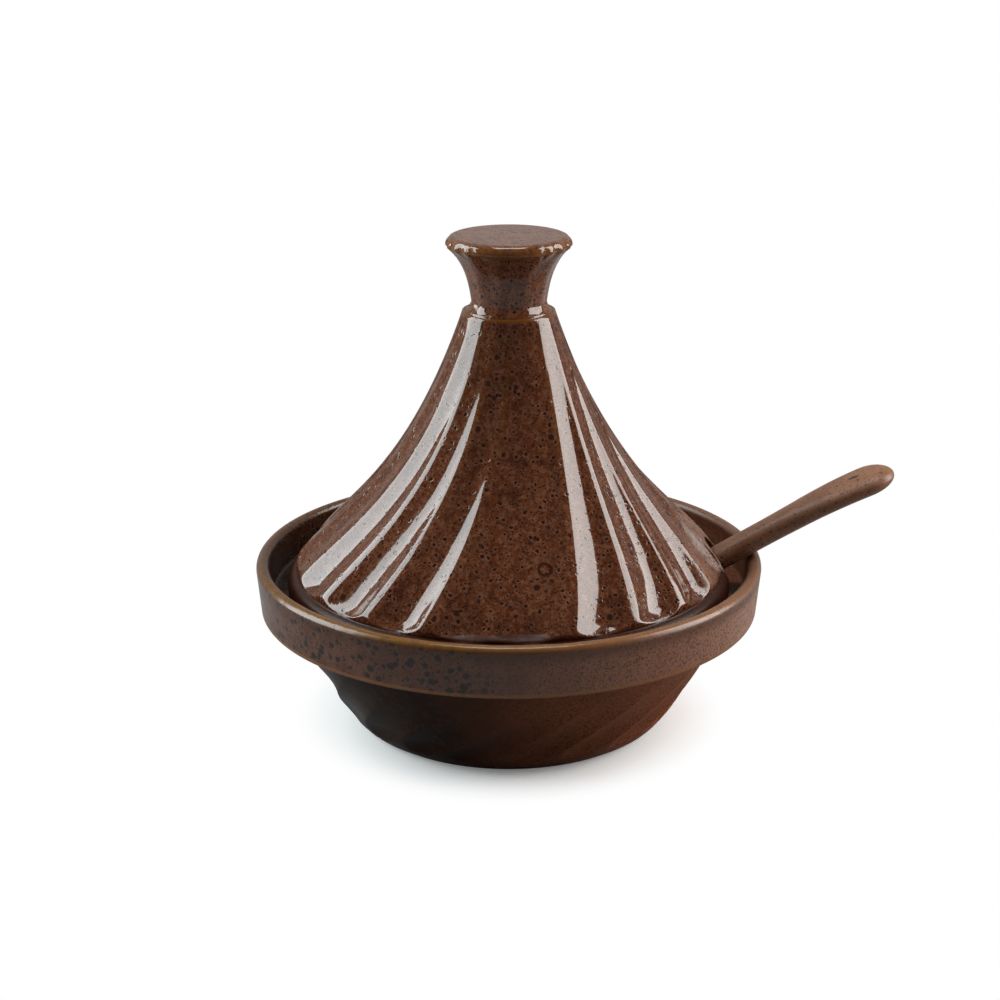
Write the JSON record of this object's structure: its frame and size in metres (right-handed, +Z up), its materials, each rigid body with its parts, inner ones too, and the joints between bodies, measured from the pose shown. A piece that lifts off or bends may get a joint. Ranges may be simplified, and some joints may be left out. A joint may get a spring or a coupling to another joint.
{
  "type": "tagine pot",
  "caption": "Small stoneware tagine: a stepped dish with a swirled fluted bowl, a fluted conical lid with a waisted knob, and a spoon that leaves through a notch in the lid.",
  "frame": {"origin": "on the pot's axis, in the plane of the foot ring's underside", "axes": "+Z up along the pot's axis, +X towards the spoon's handle, +Y to the left of the handle seen from the pot's axis"},
  "size_m": [0.1634, 0.13, 0.1266],
  "materials": {
    "satin_glaze": null,
    "gloss_glaze": null,
    "spoon_glaze": null
  },
  "bodies": {
    "dish": {"dish": "satin_glaze"},
    "lid": {"lid": "gloss_glaze"},
    "spoon": {"spoon": "spoon_glaze"}
  },
  "joints": [
    {"name": "lid_lift", "type": "slide", "parent": "dish", "child": "lid", "axis": [0, 0, 1], "range_m": [0, 0.1]},
    {"name": "spoon_slide", "type": "slide", "parent": "dish", "child": "spoon", "axis": [0.8616, 0, 0.5075], "range_m": [0, 0.02]}
  ]
}
